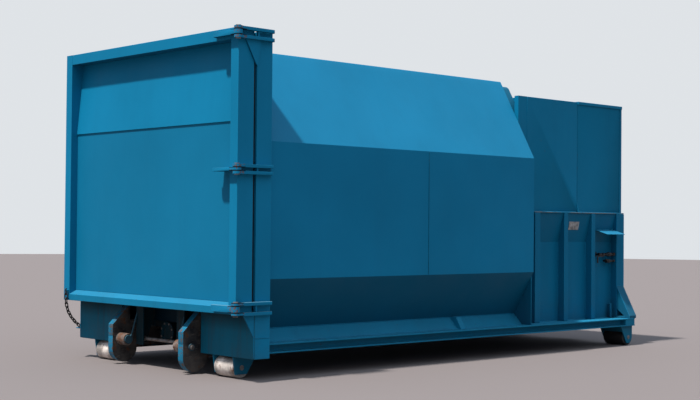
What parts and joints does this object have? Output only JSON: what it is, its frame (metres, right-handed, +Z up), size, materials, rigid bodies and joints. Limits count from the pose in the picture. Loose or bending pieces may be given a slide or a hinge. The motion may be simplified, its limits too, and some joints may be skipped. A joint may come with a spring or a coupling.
{
  "type": "self-contained compactor",
  "caption": "Self-contained waste compactor: eight-sided roll-off container with side-hinged end door, packer head with hopper, ram and cabinet, ground rollers and a hook-lift frame.",
  "frame": {"origin": "middle of the bounding box at ground level", "axes": "+X from the end door towards the hook bar, +Y from the hinge side towards the lock side, +Z up"},
  "size_m": [5.3539, 2.554, 2.6385],
  "materials": {
    "blue_paint": "semi-gloss blue paint, slightly weathered",
    "worn_blue_steel": "blue paint worn to dark scuffed steel with rust",
    "bare_steel": "plain steel, dull",
    "roller_steel": "pale steel rubbed by the ground, rust brown in patches",
    "black_paint": "black paint, dull",
    "seal_rubber": "matt black rubber",
    "chain_steel": "dark chain steel"
  },
  "bodies": {
    "container": {"roof_panel": "blue_paint", "hinge_side_panel": "blue_paint", "lock_side_panel": "blue_paint", "floor_panel": "blue_paint", "end_posts": "blue_paint", "header_beam": "blue_paint", "sill_beam": "blue_paint", "frame_corner_plates": "blue_paint", "side_rails": "blue_paint", "skids": "worn_blue_steel", "floor_bearers": "blue_paint", "end_aprons": "blue_paint", "hinge_brackets": "blue_paint", "hinge_pins": "bare_steel", "chain_shelf": "blue_paint", "lock_bearings": "blue_paint", "nose_pins": "bare_steel", "nose_shaft": "bare_steel", "nose_hangers": "blue_paint", "roller_brackets": "blue_paint", "roller_axles": "bare_steel", "drain_pipe": "blue_paint", "bulkhead": "blue_paint", "packer_hinge_wall": "blue_paint", "packer_lock_wall": "blue_paint", "packer_stiffeners": "blue_paint", "foot_braces": "blue_paint", "label_plate": "bare_steel", "packer_floor": "blue_paint", "packer_deck": "blue_paint", "rear_wall": "blue_paint", "hopper_walls": "blue_paint", "cabinet": "blue_paint", "cabinet_hinges": "bare_steel", "rain_hood": "blue_paint", "hose_couplings": "black_paint", "power_unit": "black_paint", "ram_cylinder": "black_paint", "hook_frame": "blue_paint"},
    "door": {"door_hinge_stile": "blue_paint", "door_lock_stile": "blue_paint", "door_top_beam": "blue_paint", "door_bottom_beam": "blue_paint", "door_upper_panel": "blue_paint", "door_lower_panel": "blue_paint", "door_back_ribs": "blue_paint", "door_hinge_leaves": "blue_paint", "door_seal": "seal_rubber", "strike_pins": "bare_steel", "keeper_chain": "chain_steel"},
    "lock": {"lock_shaft": "blue_paint"},
    "hatch": {"service_door": "blue_paint"},
    "ram": {"ram": "blue_paint"},
    "stage": {"cylinder_stage": "bare_steel"},
    "nose_roller_h": {"hinge_side_nose_roller": "roller_steel"},
    "nose_roller_l": {"lock_side_nose_roller": "roller_steel"},
    "front_roller_h": {"hinge_side_front_roller": "roller_steel"},
    "front_roller_l": {"lock_side_front_roller": "roller_steel"},
    "rear_roller_h": {"hinge_side_rear_roller": "roller_steel"},
    "rear_roller_l": {"lock_side_rear_roller": "roller_steel"}
  },
  "joints": [
    {"name": "door_swing", "type": "hinge", "parent": "container", "child": "door", "pos_m": [-2.645, -1.245, 1.578], "axis": [0, 0, 1], "range_deg": [0, 255]},
    {"name": "lock_turn", "type": "hinge", "parent": "container", "child": "lock", "pos_m": [-2.376, 1.249, 1.123], "axis": [0, 0, 1], "range_deg": [0, 180]},
    {"name": "hatch_swing", "type": "hinge", "parent": "container", "child": "hatch", "pos_m": [2.448, 0.986, 1.85], "axis": [0, 0, 1], "range_deg": [-110, 0]},
    {"name": "ram_push", "type": "slide", "parent": "container", "child": "ram", "axis": [-1, 0, 0], "range_m": [0, 0.85]},
    {"name": "stage_push", "type": "slide", "parent": "container", "child": "stage", "axis": [-1, 0, 0], "range_m": [0, 0.425]},
    {"name": "nose_roller_h_spin", "type": "hinge", "parent": "container", "child": "nose_roller_h", "pos_m": [-2.524, -0.409, 0.212], "axis": [0, 1, 0], "continuous": true},
    {"name": "nose_roller_l_spin", "type": "hinge", "parent": "container", "child": "nose_roller_l", "pos_m": [-2.524, 0.409, 0.212], "axis": [0, 1, 0], "continuous": true},
    {"name": "front_roller_h_spin", "type": "hinge", "parent": "container", "child": "front_roller_h", "pos_m": [-2.373, -0.848, 0.08], "axis": [0, 1, 0], "continuous": true},
    {"name": "front_roller_l_spin", "type": "hinge", "parent": "container", "child": "front_roller_l", "pos_m": [-2.373, 0.848, 0.08], "axis": [0, 1, 0], "continuous": true},
    {"name": "rear_roller_h_spin", "type": "hinge", "parent": "container", "child": "rear_roller_h", "pos_m": [2.397, -1.006, 0.08], "axis": [0, 1, 0], "continuous": true},
    {"name": "rear_roller_l_spin", "type": "hinge", "parent": "container", "child": "rear_roller_l", "pos_m": [2.397, 1.006, 0.08], "axis": [0, 1, 0], "continuous": true}
  ],
  "couplings": [
    {"joint": "stage_push", "follows": "ram_push", "ratio": 0.5}
  ]
}
